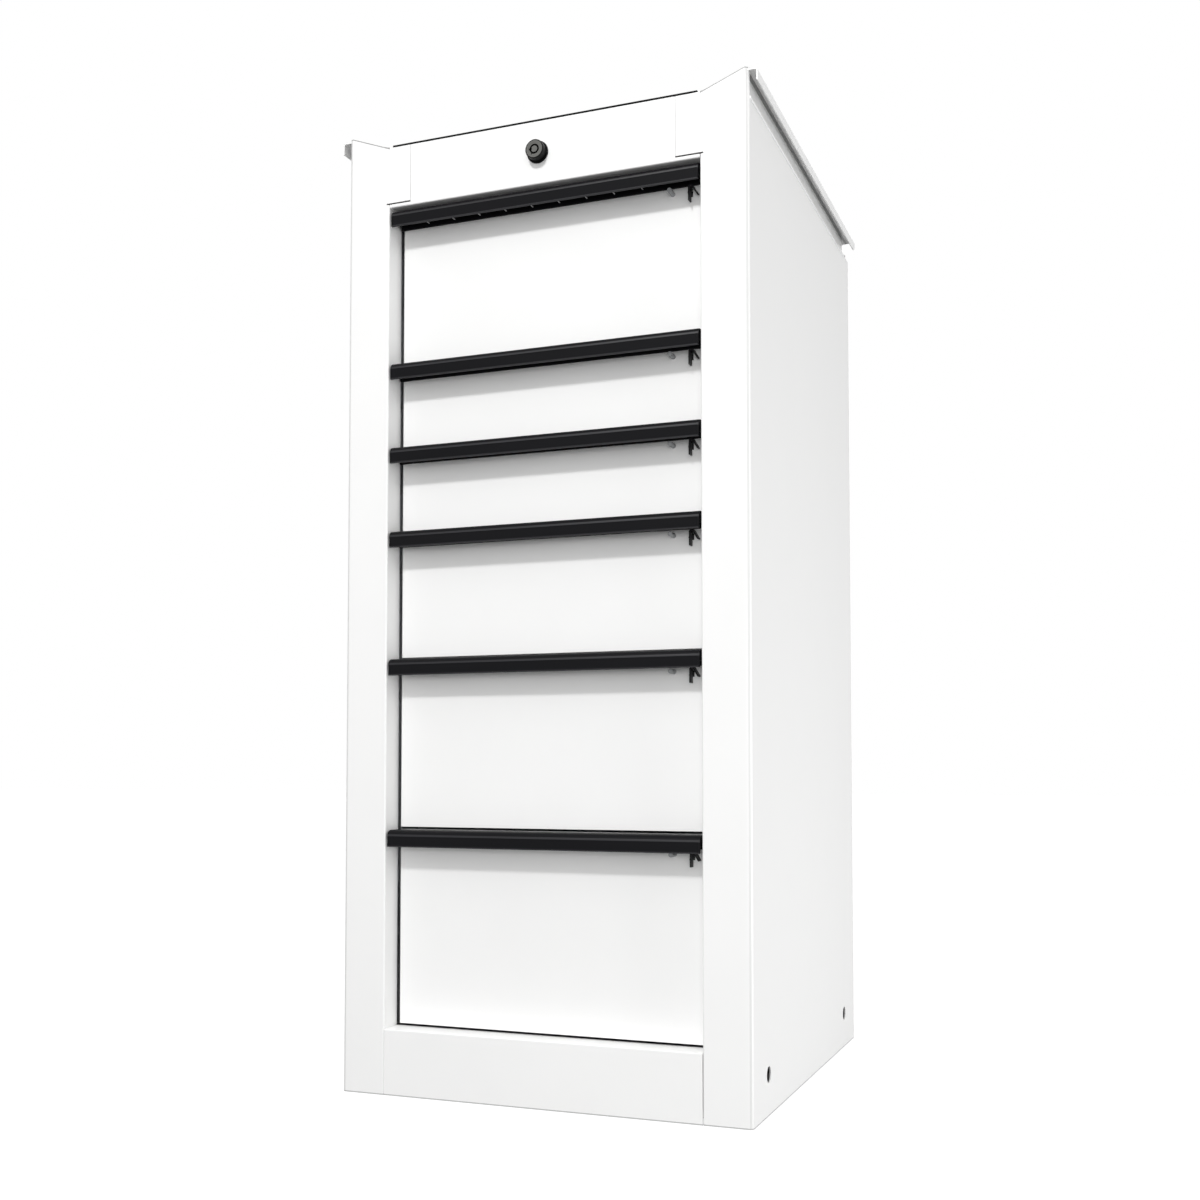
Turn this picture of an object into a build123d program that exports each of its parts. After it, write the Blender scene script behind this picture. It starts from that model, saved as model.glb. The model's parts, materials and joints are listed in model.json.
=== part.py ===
from build123d import *
from math import asin, atan2, cos, radians, sin, tan
import os

# Tool side cabinet: a tall narrow sheet steel case with six drawers of mixed height. Each
# drawer has a full-width pull, a thumb catch and a pair of three-member runners, and one
# cam lock in the header lifts a bar behind the left stile.
# Millimetres. X runs across the case, the front faces -Y, Z is up and the floor is Z = 0.
# The origin is the middle of the footprint, with the lock's nose counted in.

os.makedirs("parts", exist_ok=True)

# Sheet and fits
sheet = 1.2
fold_radius = 1.6
seam = 0.3
slip = 0.3
pin_slip = 0.05

# Case
case_height = 930.0
opening_width = 316.0
stile_width = 45.0
case_depth = 444.0
corner_radius = 4.0
stile_return = 24.5
rear_flange = 18.0
kick_height = 62.0
header_height = 59.6
corner_rise = 15.4
corner_width = 68.0
corner_slope = 40.5
slope_radius = 40.0
relief_slit = 1.5
header_strip = 3.3
pan_flange = 20.0

# Side holes
side_hole_d = 14.5
side_hole_z = 36.5
side_hole_front = 54.0
side_hole_rear = 54.0

# Top tray and side rails
tray_shift = 4.0
mat_thickness = 2.6
mat_rear_setback = 1.2
rail_step = 2.8
rail_overhang = 8.0
rail_top_drop = 1.8
rail_lip = 11.2
rail_lip_radius = 2.5
rail_web_tuck = 12.0
side_top_drop = 25.0
rail_web_gap = 21.0
ledge_gap = 36.0

# Drawer fronts: the second and third are alike, and the bottom one takes the height left
top_front_height = 147.8
shallow_front_height = 79.4
medium_front_height = 120.9
deep_front_height = 161.4
running_gap = 2.6
front_recess = 22.0
front_side_gap = 3.5
front_depth = 15.0
front_edge_radius = 3.0

# Drawer boxes
box_sheet = 1.0
box_raise = 5.0
box_headroom = 15.0
box_rear_gap = 29.0

# Pulls
pull_side_gap = 2.0
pull_wall = 2.2
pull_height = 16.0
pull_flange = 13.2
pull_nose_radius = 6.0
pull_back_radius = 0.8
rib_wall = 1.2
rib_count = 9
rib_pitch = 27.7
rib_drop = 10.2
pull_end_wall = 2.0

# Thumb catches
catch_drop = 18.0
catch_pivot_inset = 32.6
catch_slot_inset = 14.6
catch_slot_width = 2.6
catch_slot_height = 10.0
catch_tab_width = 1.4
catch_tab_height = 3.6
catch_end_slip = 0.5
catch_plate = 2.0
catch_width = 7.0
catch_nose = 4.0
catch_stud_d = 4.4
catch_stud_proud = 11.0
hook_setback = 13.0
hook_low_drop = 28.8
hook_bend_drop = 15.2
hook_bend_reach = 3.7
hook_bend_rise = 1.2
hook_nose_reach = 5.2
hook_nose_fall = 8.8
hook_radius = 2.0

# Runners
runner_thickness = 12.7
runner_height = 35.0
runner_wall = 1.2
runner_web_gap = 1.4
runner_lip = 9.0
runner_step = 1.4
runner_low = 6.0
runner_start_gap = 3.0
runner_rear_gap = 24.0

# Slide posts and their screws
post_sheet = 1.5
post_width = 32.0
screw_d = 4.0
screw_head_d = 8.0
screw_head = 1.0
screw_tail = 3.0

# Lock
lock_proud = 9.0
lock_barrel_d = 18.2
lock_ring_d = 21.0
lock_ring = 1.5
lock_length = 28.0
lock_nut_width = 24.0
lock_nut = 4.0
lock_hole_slip = 0.2
plug_d = 12.0
plug_sunk = 0.2
plug_tail = 7.0
keyway_outer_d = 9.0
keyway_inner_d = 6.4
keyway_depth = 5.0
keyway_notch = 1.6
keyway_notch_depth = 0.9
mark_d = 1.2
mark_depth = 0.4
mark_angle = 240.0
cam_plate = 2.0
cam_width = 12.0
cam_reach = 10.0
cam_pin_d = 4.0
cam_swing = 90.0

# Lock bar
bar_plate = 2.0
bar_width = 10.0
bar_inset = 4.0
bar_arm = 15.0
bar_arm_end = 10.0
bar_slot_slip = 0.6
bar_foot = 18.0
lug_height = 8.0
lug_drop = 34.0
lug_gap = 1.0
bar_corner_radius = 1.0

# Places across the case
opening_half = opening_width / 2
case_half = opening_half + stile_width
face_y = -(case_depth - lock_proud) / 2
back_y = face_y + case_depth
inner_half = case_half - sheet
head_half = case_half - corner_width

# Places up the case
header_top = case_height - corner_rise
opening_top = header_top - header_height
side_top = case_height - side_top_drop
head_low = opening_top + header_strip

# Places back from the face
panel_y = face_y + sheet
front_y = face_y + front_recess
pan_y = front_y + front_depth
runner_y = pan_y + runner_start_gap
runner_end = back_y - runner_rear_gap
runner_length = runner_end - runner_y
cam_y = face_y + lock_length + slip
bar_y = cam_y + cam_plate + slip
post_front_y = bar_y + bar_plate + slip
post_rear_y = runner_end - post_width
back_panel_y = back_y - 2 * sheet


def upright(y):
    """Vertical plane across the case at depth y, seen from the front."""
    return Plane.XZ.offset(-y)


def save(part, name):
    """Name a finished piece and write its file."""
    part.label = name
    export_step(part, f"parts/{name}.step")


def save_mirrored(part, name):
    """Write the left-hand copy of a right-hand piece."""
    with BuildPart() as twin:
        mirror(part, about=Plane.YZ)
    save(twin.part, name)


def folded(points, radii, wall, side=Side.LEFT):
    """Section of a sheet folded along a line of points, with its wall on one side."""
    with BuildSketch() as section:
        with BuildLine():
            FilletPolyline(*points, radius=radii)
            offset(amount=wall, side=side)
        make_face()
    return section.sketch


def channel(web_x, tip_x, mid_z, half_height, wall):
    """C section with its web at web_x and two lips that reach to tip_x."""
    inward = wall if tip_x > web_x else -wall
    with BuildSketch() as section:
        with BuildLine():
            Polyline(
                (tip_x, mid_z + half_height),
                (web_x, mid_z + half_height),
                (web_x, mid_z - half_height),
                (tip_x, mid_z - half_height),
                (tip_x, mid_z - half_height + wall),
                (web_x + inward, mid_z - half_height + wall),
                (web_x + inward, mid_z + half_height - wall),
                (tip_x, mid_z + half_height - wall),
                close=True,
            )
        make_face()
    return section.sketch


# Side sheets: each is one sheet with the stile folded at the front and a flange at the back.
# Above the opening the stile widens into a corner head whose top edge sweeps up to a tip.
side_points = [
    (opening_half, face_y + stile_return),
    (opening_half, face_y),
    (case_half, face_y),
    (case_half, back_y),
    (case_half - rear_flange, back_y),
]
side_section = folded(side_points, [fold_radius, corner_radius, fold_radius], sheet)
head_outer = case_half - corner_radius
slope_x = head_outer - corner_slope
stile_notch = opening_half + fold_radius + relief_slit
corner_y = face_y + corner_radius

with BuildPart() as side_panel_right:
    with BuildSketch(Plane.XY):
        add(side_section)
    extrude(amount=side_top)
    with BuildSketch(Plane.XY.offset(head_low)):
        with Locations((stile_notch, face_y)):
            Rectangle(stile_width / 2, stile_return, align=(Align.MAX, Align.MIN))
    extrude(amount=side_top - head_low, mode=Mode.SUBTRACT)
    with BuildSketch(Plane.XY.offset(side_top)):
        add(side_section)
        with Locations((head_outer, back_y)):
            Rectangle(stile_width, case_depth, align=Align.MAX, mode=Mode.SUBTRACT)
        with Locations((case_half, back_y)):
            Rectangle(stile_width, back_y - corner_y, align=Align.MAX, mode=Mode.SUBTRACT)
    extrude(amount=case_height - side_top)
    with BuildSketch(upright(face_y)):
        with BuildLine():
            FilletPolyline(
                (head_half, header_top),
                (slope_x, header_top),
                (head_outer, case_height),
                radius=slope_radius,
            )
            Polyline(
                (head_outer, case_height),
                (head_outer, head_low + relief_slit),
                (head_half, head_low + relief_slit),
                (head_half, header_top),
            )
        make_face()
    extrude(amount=-sheet)
    with BuildSketch(upright(corner_y)):
        with Locations((case_half, side_top)):
            Rectangle(rail_step, sheet, align=Align.MAX)
    extrude(amount=-(case_depth - corner_radius - ledge_gap))
    with BuildSketch(Plane.YZ.offset(inner_half)):
        with Locations((face_y + side_hole_front, side_hole_z), (back_y - side_hole_rear, side_hole_z)):
            Circle(side_hole_d / 2)
    extrude(amount=sheet, mode=Mode.SUBTRACT)
save(side_panel_right.part, "side_panel_right")
save_mirrored(side_panel_right.part, "side_panel_left")

# Header: a plate between the corner heads, with a strip that runs on under them to the
# stiles and a flange folded back over the opening.
header_half = head_half - seam
strip_half = opening_half - seam
lock_z = opening_top + header_height / 2

with BuildPart() as header_panel:
    with BuildSketch(upright(face_y)):
        with BuildLine():
            Polyline(
                (header_half, header_top),
                (header_half, head_low),
                (strip_half, head_low),
                (strip_half, opening_top),
                (-strip_half, opening_top),
                (-strip_half, head_low),
                (-header_half, head_low),
                (-header_half, header_top),
                close=True,
            )
        make_face()
        with Locations((0, lock_z)):
            Circle(lock_barrel_d / 2 + lock_hole_slip, mode=Mode.SUBTRACT)
    extrude(amount=-sheet)
    with BuildSketch(Plane.XY.offset(opening_top)):
        with Locations((0, face_y)):
            Rectangle(2 * strip_half, stile_return, align=(Align.CENTER, Align.MIN))
    extrude(amount=sheet)
    front_edges = header_panel.edges().filter_by(Axis.X).group_by(Axis.Z)[0]
    fillet(front_edges.sort_by(Axis.Y)[0], sheet)
save(header_panel.part, "header_panel")

# Kick panel: a plate down to the floor, with its top edge folded back under the opening.
with BuildPart() as kick_panel:
    with BuildSketch(upright(face_y)):
        Rectangle(2 * strip_half, kick_height, align=(Align.CENTER, Align.MIN))
    extrude(amount=-sheet)
    with BuildSketch(Plane.XY.offset(kick_height - sheet)):
        with Locations((0, face_y)):
            Rectangle(2 * strip_half, stile_return, align=(Align.CENTER, Align.MIN))
    extrude(amount=sheet)
    front_edges = kick_panel.edges().filter_by(Axis.X).group_by(Axis.Z)[-1]
    fillet(front_edges.sort_by(Axis.Y)[0], sheet)
save(kick_panel.part, "kick_panel")

# Base pan: the case's floor, a shallow tray between the side sheets.
pan_front = face_y + stile_return + slip
pan_depth = back_panel_y - pan_front

with BuildPart() as base_pan:
    with BuildSketch(Plane.XY):
        with Locations((0, pan_front)):
            Rectangle(2 * inner_half, pan_depth, align=(Align.CENTER, Align.MIN))
    extrude(amount=pan_flange)
    offset(amount=-sheet, openings=base_pan.faces().sort_by(Axis.Z)[-1])
save(base_pan.part, "base_pan")

# Back panel: a plain sheet in front of the rear flanges, clear of the folds.
back_half = inner_half - fold_radius

with BuildPart() as back_panel:
    with BuildSketch(upright(back_panel_y)):
        Rectangle(2 * back_half, header_top - sheet - seam, align=(Align.CENTER, Align.MIN))
    extrude(amount=-sheet)
save(back_panel.part, "back_panel")

# Side rails: an inverted channel along the top of each side. Its web stands inside the
# ledge of the side sheet and its lip hangs outside the case.
web_outer = case_half - rail_step
web_inner = web_outer - sheet
rail_outer = case_half + rail_overhang
rail_top = case_height - rail_top_drop
rail_points = [
    (web_inner, side_top - rail_web_tuck),
    (web_inner, rail_top),
    (rail_outer, rail_top),
    (rail_outer, rail_top - rail_lip),
]
rail_section = folded(rail_points, [fold_radius, rail_lip_radius], sheet, Side.RIGHT)

with BuildPart() as top_rail_right:
    with BuildSketch(upright(panel_y)):
        add(rail_section)
    extrude(amount=-(case_depth - sheet))
    with BuildSketch(upright(back_y)):
        with Locations((web_inner, rail_top - fold_radius)):
            Rectangle(2 * sheet, side_top_drop + rail_web_tuck, align=(Align.CENTER, Align.MAX))
    extrude(amount=rail_web_gap, mode=Mode.SUBTRACT)
    with BuildSketch(upright(panel_y)):
        with Locations((web_inner, side_top)):
            Rectangle(2 * sheet, rail_web_tuck, align=(Align.CENTER, Align.MAX))
    extrude(amount=-corner_radius, mode=Mode.SUBTRACT)
    lip_corner = top_rail_right.edges().filter_by(Axis.X).group_by(Axis.X)[-1]
    fillet(lip_corner.group_by(Axis.Z)[0].sort_by(Axis.Y)[-1], rail_lip / 2)
save(top_rail_right.part, "top_rail_right")
save_mirrored(top_rail_right.part, "top_rail_left")

# Top tray: a flat floor with a sloped wing up to each side rail.
slope_angle = atan2(corner_rise, corner_slope)
tray_slope_x = slope_x + tray_shift
tray_end_x = web_inner - slip - sheet * sin(slope_angle)
tray_end_z = header_top + (tray_end_x - tray_slope_x) * corner_rise / corner_slope
tray_points = [
    (-tray_end_x, tray_end_z),
    (-tray_slope_x, header_top),
    (tray_slope_x, header_top),
    (tray_end_x, tray_end_z),
]
tray_section = folded(tray_points, [slope_radius, slope_radius], sheet, Side.RIGHT)

with BuildPart() as top_tray:
    with BuildSketch(upright(panel_y)):
        add(tray_section)
    extrude(amount=-(case_depth - sheet))
save(top_tray.part, "top_tray")

# Top mat: a rubber sheet that fills the tray's flat floor.
mat_half = tray_slope_x - slope_radius * tan(slope_angle / 2)

mat_depth = case_depth - sheet - mat_rear_setback

with BuildPart() as top_mat:
    with BuildSketch(Plane.XY.offset(header_top)):
        with Locations((0, panel_y)):
            Rectangle(2 * mat_half, mat_depth, align=(Align.CENTER, Align.MIN))
    extrude(amount=mat_thickness)
save(top_mat.part, "top_mat")

# Heights of the drawers: the bottom and the top of each front, from the top drawer down.
upper_heights = [
    top_front_height,
    shallow_front_height,
    shallow_front_height,
    medium_front_height,
    deep_front_height,
]
gap_count = len(upper_heights) + 2
height_left = opening_top - kick_height - sum(upper_heights) - running_gap * gap_count
front_spans = []
front_top = opening_top - running_gap
for front_height in [*upper_heights, height_left]:
    front_spans.append((front_top - front_height, front_top))
    front_top -= front_height + running_gap

runner_levels = [low + box_raise + runner_low + runner_height / 2 for low, top in front_spans]
box_half = opening_half - runner_thickness
web_face = opening_half

# Slide posts: two channels on each side that carry the fixed runner members.
post_top = opening_top
post_tip = inner_half
screw_offset = post_width / 2


def slide_posts(post_y, name):
    """A left and a right post at one depth, drilled for every runner screw."""
    with BuildPart() as posts:
        with BuildSketch(Plane.XY.offset(kick_height)):
            with Locations((web_face, post_y)):
                Rectangle(post_tip - web_face, post_width, align=Align.MIN)
            with Locations((web_face + post_sheet, post_y + post_sheet)):
                Rectangle(
                    post_tip - web_face,
                    post_width - 2 * post_sheet,
                    align=Align.MIN,
                    mode=Mode.SUBTRACT,
                )
        extrude(amount=post_top - kick_height)
        with BuildSketch(Plane.YZ.offset(web_face)):
            with Locations(*[(post_y + screw_offset, level) for level in runner_levels]):
                Circle(screw_d / 2 + pin_slip)
        extrude(amount=post_sheet, mode=Mode.SUBTRACT)
        mirror(about=Plane.YZ)
    save(posts.part, name)


slide_posts(post_front_y, "front_slide_posts")
slide_posts(post_rear_y, "rear_slide_posts")

# Runner screws: pan heads inside the fixed members, shanks through the posts.
screw_ys = [post_front_y + screw_offset, post_rear_y + screw_offset]
screw_seat = web_face - runner_wall
screw_places = [(y, level) for y in screw_ys for level in runner_levels]

with BuildPart() as runner_screws:
    with BuildSketch(Plane.YZ.offset(screw_seat)):
        with Locations(*screw_places):
            Circle(screw_head_d / 2)
    extrude(amount=-screw_head)
    with BuildSketch(Plane.YZ.offset(screw_seat)):
        with Locations(*screw_places):
            Circle(screw_d / 2)
    extrude(amount=runner_wall + post_sheet + screw_tail)
    mirror(about=Plane.YZ)
save(runner_screws.part, "runner_screws")

# Lock: a threaded housing held in the header by a nut, a turning plug, and a cam whose pin
# rides in the lock bar. At rest the cam points down to the right and the bar is low.
lock_nose_y = face_y - lock_proud
lock_back_y = face_y + lock_length
tail_length = cam_plate + slip
cam_rest = radians(-cam_swing / 2)
cam_pin_x = cam_reach * cos(cam_rest)
cam_pin_z = lock_z + cam_reach * sin(cam_rest)

with BuildPart() as lock_housing:
    with BuildSketch(upright(lock_nose_y)):
        with Locations((0, lock_z)):
            Circle(lock_barrel_d / 2)
    extrude(amount=-(lock_proud + lock_length))
    fillet(lock_housing.edges().filter_by(GeomType.CIRCLE).sort_by(Axis.Y)[0], sheet / 2)
    with BuildSketch(upright(face_y)):
        with Locations((0, lock_z)):
            Circle(lock_ring_d / 2)
    extrude(amount=lock_ring)
    with BuildSketch(upright(lock_nose_y)):
        with Locations((0, lock_z)):
            Circle(plug_d / 2 + pin_slip)
    extrude(amount=-(lock_proud + lock_length), mode=Mode.SUBTRACT)
save(lock_housing.part, "lock_housing")

with BuildPart() as lock_nut_ring:
    with BuildSketch(upright(panel_y)):
        with Locations((0, lock_z)):
            RegularPolygon(lock_nut_width / 2, 6, major_radius=False)
            Circle(lock_barrel_d / 2 + pin_slip, mode=Mode.SUBTRACT)
    extrude(amount=-lock_nut)
save(lock_nut_ring.part, "lock_nut")

plug_face_y = lock_nose_y + plug_sunk
mark_x = (plug_d + keyway_outer_d) / 4 * cos(radians(mark_angle))
mark_z = lock_z + (plug_d + keyway_outer_d) / 4 * sin(radians(mark_angle))

with BuildPart() as lock_plug:
    with BuildSketch(upright(plug_face_y)):
        with Locations((0, lock_z)):
            Circle(plug_d / 2)
    extrude(amount=-(lock_back_y - plug_face_y))
    with BuildSketch(Plane(origin=(0, lock_back_y, lock_z), x_dir=(1, 0, 0), z_dir=(0, -1, 0))):
        Rectangle(plug_tail, plug_tail, rotation=-cam_swing / 2)
    extrude(amount=-tail_length)
    with BuildSketch(upright(plug_face_y)):
        with Locations((0, lock_z)):
            Circle(keyway_outer_d / 2)
            Circle(keyway_inner_d / 2, mode=Mode.SUBTRACT)
        with Locations((-keyway_outer_d / 2, lock_z)):
            Rectangle(2 * keyway_notch_depth, keyway_notch)
    extrude(amount=-keyway_depth, mode=Mode.SUBTRACT)
    with BuildSketch(upright(plug_face_y)):
        with Locations((mark_x, mark_z)):
            Circle(mark_d / 2)
    extrude(amount=-mark_depth, mode=Mode.SUBTRACT)
save(lock_plug.part, "lock_plug")

cam_plane = Plane(
    origin=(0, cam_y, lock_z),
    x_dir=(cos(cam_rest), 0, sin(cam_rest)),
    z_dir=(0, -1, 0),
)
pin_length = cam_plate + slip + bar_plate + slip

with BuildPart() as lock_cam:
    with BuildSketch(cam_plane):
        SlotCenterPoint((cam_reach / 2, 0), (cam_reach, 0), cam_width)
        Rectangle(plug_tail + 2 * pin_slip, plug_tail + 2 * pin_slip, mode=Mode.SUBTRACT)
    extrude(amount=-cam_plate)
    with BuildSketch(cam_plane):
        with Locations((cam_reach, 0)):
            Circle(cam_pin_d / 2)
    extrude(amount=-pin_length)
save(lock_cam.part, "lock_cam")

# Lock bar: an L-shaped plate. Its arm runs behind the header to the cam pin, its leg hangs
# behind the left stile, and a lug beside each drawer front points into the opening.
bar_right = -(opening_half + sheet + bar_inset)
bar_left = bar_right - bar_width
arm_top = cam_pin_z + bar_arm / 2
lug_tip = -(box_half + runner_thickness - runner_wall - runner_web_gap + lug_gap)
slot_height = cam_pin_d + 2 * bar_slot_slip
slot_left = cam_pin_x - cam_pin_d / 2 - bar_slot_slip
slot_right = cam_reach + cam_pin_d / 2 + bar_slot_slip
bar_bottom = front_spans[-1][1] - lug_drop - bar_foot

with BuildPart() as lock_bar:
    with BuildSketch(upright(bar_y)):
        with Locations((bar_left, arm_top)):
            Rectangle(slot_right + bar_arm_end - bar_left, bar_arm, align=(Align.MIN, Align.MAX))
            Rectangle(bar_width, arm_top - bar_bottom, align=(Align.MIN, Align.MAX))
        with Locations(*[(bar_left, top - lug_drop) for low, top in front_spans]):
            Rectangle(lug_tip - bar_left, lug_height, align=(Align.MIN, Align.CENTER))
        with Locations((slot_left, cam_pin_z)):
            Rectangle(
                slot_right - slot_left,
                slot_height,
                align=(Align.MIN, Align.CENTER),
                mode=Mode.SUBTRACT,
            )
    extrude(amount=-bar_plate)
    outer_corners = lock_bar.edges().filter_by(Axis.Y).group_by(Axis.X)
    fillet(outer_corners[0] + outer_corners[-1], bar_corner_radius)
save(lock_bar.part, "lock_bar")

# Pull: a flat top, a rounded nose, a deep front lip and a flange that lies on the drawer
# front. Thin ribs divide its hollow into finger bays, and a wall closes each end. The row
# of ribs leaves room for the catch at the right end.
pull_points = [
    (front_y, -pull_flange),
    (front_y, 0),
    (face_y, 0),
    (face_y, -pull_height),
]
pull_section = folded(pull_points, [pull_back_radius, pull_nose_radius], pull_wall)
pull_half = opening_half - pull_side_gap
rib_xs = [(index - rib_count / 2) * rib_pitch - rib_wall / 2 for index in range(rib_count)]
end_xs = [-pull_half, pull_half - pull_end_wall]

# A rib or an end wall fills the upper part of the pull's hollow.
with BuildSketch() as rib_sketch:
    with Locations((face_y + pull_wall / 2, -pull_wall / 2)):
        Rectangle(
            front_recess - pull_wall,
            rib_drop - pull_wall / 2,
            align=(Align.MIN, Align.MAX),
        )
    rib_fronts = rib_sketch.vertices().group_by(Axis.X)[0]
    fillet(rib_fronts.sort_by(Axis.Y)[-1], pull_nose_radius - pull_wall / 2)
rib_section = rib_sketch.sketch


def beside(x, z):
    """Vertical plane along the case at place x, with its own origin at height z."""
    return Plane(origin=(x, 0, z), x_dir=(0, 1, 0), z_dir=(1, 0, 0))


def drawer_pull(number, top):
    with BuildPart() as pull:
        with BuildSketch(beside(-pull_half, top)):
            add(pull_section)
        extrude(amount=2 * pull_half)
        with BuildSketch(*[beside(x, top) for x in rib_xs]):
            add(rib_section)
        extrude(amount=rib_wall)
        with BuildSketch(*[beside(x, top) for x in end_xs]):
            add(rib_section)
        extrude(amount=pull_end_wall)
    save(pull.part, f"drawer_{number}_pull")


# Drawer front: a pan of sheet steel, open at the back, with a round hole and a slot at its
# right end for the catch.
front_half = opening_half - front_side_gap
catch_x = opening_half - catch_pivot_inset
catch_slot_x = opening_half - catch_slot_inset


def drawer_front(number, low, top):
    with BuildPart() as front:
        with BuildSketch(Plane.XY.offset(low)):
            with Locations((0, front_y)):
                Rectangle(2 * front_half, front_depth, align=(Align.CENTER, Align.MIN))
        extrude(amount=top - low)
        fillet(front.edges().filter_by(Axis.Z).group_by(Axis.Y)[0], front_edge_radius)
        offset(amount=-sheet, openings=front.faces().sort_by(Axis.Y)[-1])
        with BuildSketch(upright(front_y)):
            with Locations((catch_x, top - catch_drop)):
                Circle(catch_stud_d / 2 + pin_slip)
            with Locations((catch_slot_x, top - catch_drop)):
                Rectangle(catch_slot_width, catch_slot_height)
        extrude(amount=-sheet, mode=Mode.SUBTRACT)
    save(front.part, f"drawer_{number}_front")


# Thumb catch: a flat lever behind the front. Its stud turns in the round hole and is kept
# in by the drawer box, and its tab rides in the slot. In front, under the pull, the tab
# carries a hook with an upright leg for the thumb and a sloped nose beside the stile. It is
# drawn with the tab lowest.
catch_reach = catch_slot_x - catch_x
catch_rise = (catch_slot_height - catch_tab_height) / 2 - catch_end_slip
catch_rest = -asin(catch_rise / catch_reach)
catch_y = front_y + sheet + slip
hook_y = face_y + hook_setback
hook_depth = front_recess - pull_wall - slip - hook_setback
leg_x = catch_x + catch_reach * cos(catch_rest) - catch_tab_width / 2
bend_x = leg_x + hook_bend_reach
bend_z = hook_bend_rise - hook_bend_drop
hook_points = [
    (leg_x, -hook_low_drop),
    (leg_x, -hook_bend_drop),
    (bend_x, bend_z),
    (bend_x + hook_nose_reach, bend_z - hook_nose_fall),
]
hook_section = folded(hook_points, [hook_radius, hook_radius], catch_tab_width, Side.RIGHT)


def catch_plane(y, top):
    """Plane of the lever at depth y, with its origin on the stud's axis."""
    return Plane(
        origin=(catch_x, y, top - catch_drop),
        x_dir=(cos(catch_rest), 0, sin(catch_rest)),
        z_dir=(0, -1, 0),
    )


def drawer_catch(number, top):
    with BuildPart() as catch:
        with BuildSketch(catch_plane(catch_y, top)):
            with Locations(((catch_reach + catch_nose) / 2, 0)):
                SlotCenterToCenter(catch_reach + catch_nose, catch_width)
        extrude(amount=-catch_plate)
        with BuildSketch(catch_plane(hook_y, top)):
            with Locations((catch_reach, 0)):
                Rectangle(catch_tab_width, catch_tab_height)
        extrude(amount=-(catch_y + catch_plate - hook_y))
        with BuildSketch(Plane(origin=(0, hook_y, top), x_dir=(1, 0, 0), z_dir=(0, -1, 0))):
            add(hook_section)
        extrude(amount=-hook_depth)
        with BuildSketch(catch_plane(front_y - catch_stud_proud, top)):
            Circle(catch_stud_d / 2)
        extrude(amount=-(catch_stud_proud + front_depth - slip))
    save(catch.part, f"drawer_{number}_catch")


# Drawer box: an open tray behind the front, as wide as the runners leave room for.
box_depth = back_y - box_rear_gap - pan_y


def drawer_box(number, low, top):
    box_low = low + box_raise
    with BuildPart() as box:
        with BuildSketch(Plane.XY.offset(box_low)):
            with Locations((0, pan_y)):
                Rectangle(2 * box_half, box_depth, align=(Align.CENTER, Align.MIN))
        extrude(amount=top - box_headroom - box_low)
        offset(amount=-box_sheet, openings=box.faces().sort_by(Axis.Z)[-1])
    save(box.part, f"drawer_{number}_box")


# Runners: three nested C sections on each side of a drawer. The fixed member is screwed to
# the posts, the inner member is fixed to the drawer box, and the middle one runs between.
middle_web = web_face - runner_wall - runner_web_gap
middle_tip = box_half + runner_wall + runner_step
middle_half = runner_height / 2 - runner_wall - slip
inner_tip = middle_web - runner_wall - runner_web_gap
inner_half_height = middle_half - runner_wall - slip


def runner_pair(section, name, drilled_level=None):
    """A left and a right runner member of one section, with screw holes where it has a level."""
    with BuildPart() as members:
        with BuildSketch(upright(runner_y)):
            add(section)
        extrude(amount=-runner_length)
        if drilled_level is not None:
            with BuildSketch(Plane.YZ.offset(screw_seat)):
                with Locations(*[(y, drilled_level) for y in screw_ys]):
                    Circle(screw_d / 2 + pin_slip)
            extrude(amount=runner_wall, mode=Mode.SUBTRACT)
        mirror(about=Plane.YZ)
    save(members.part, name)


def drawer_runners(number, level):
    fixed = channel(web_face, web_face - runner_lip, level, runner_height / 2, runner_wall)
    middle = channel(middle_web, middle_tip, level, middle_half, runner_wall)
    inner = channel(box_half, inner_tip, level, inner_half_height, runner_wall)
    runner_pair(fixed, f"drawer_{number}_fixed_runners", level)
    runner_pair(middle, f"drawer_{number}_middle_runners")
    runner_pair(inner, f"drawer_{number}_inner_runners")


for number, (low, top) in enumerate(front_spans, start=1):
    drawer_box(number, low, top)
    drawer_front(number, low, top)
    drawer_pull(number, top)
    drawer_catch(number, top)
    drawer_runners(number, runner_levels[number - 1])
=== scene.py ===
import json
import math

import bpy
from bpy.props import FloatProperty, FloatVectorProperty, IntProperty, PointerProperty
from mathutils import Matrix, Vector


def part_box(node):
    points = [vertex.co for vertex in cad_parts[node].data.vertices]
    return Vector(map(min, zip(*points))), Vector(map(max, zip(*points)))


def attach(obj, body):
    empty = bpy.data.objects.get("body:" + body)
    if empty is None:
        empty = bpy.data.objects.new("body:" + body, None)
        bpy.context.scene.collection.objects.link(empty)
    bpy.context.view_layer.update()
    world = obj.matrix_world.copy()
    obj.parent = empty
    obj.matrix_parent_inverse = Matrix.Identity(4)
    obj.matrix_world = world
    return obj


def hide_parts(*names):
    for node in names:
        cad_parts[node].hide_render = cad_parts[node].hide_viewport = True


bl_info = {
    "name": "Tool side cabinet",
    "version": (1, 0, 0),
    "blender": (4, 5, 0),
    "location": "View3D > Sidebar > Cabinet",
    "description": "Dresses a six-drawer tool side cabinet: pulls, trays, top mat, hems and finishes",
    "category": "Object",
}

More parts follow.
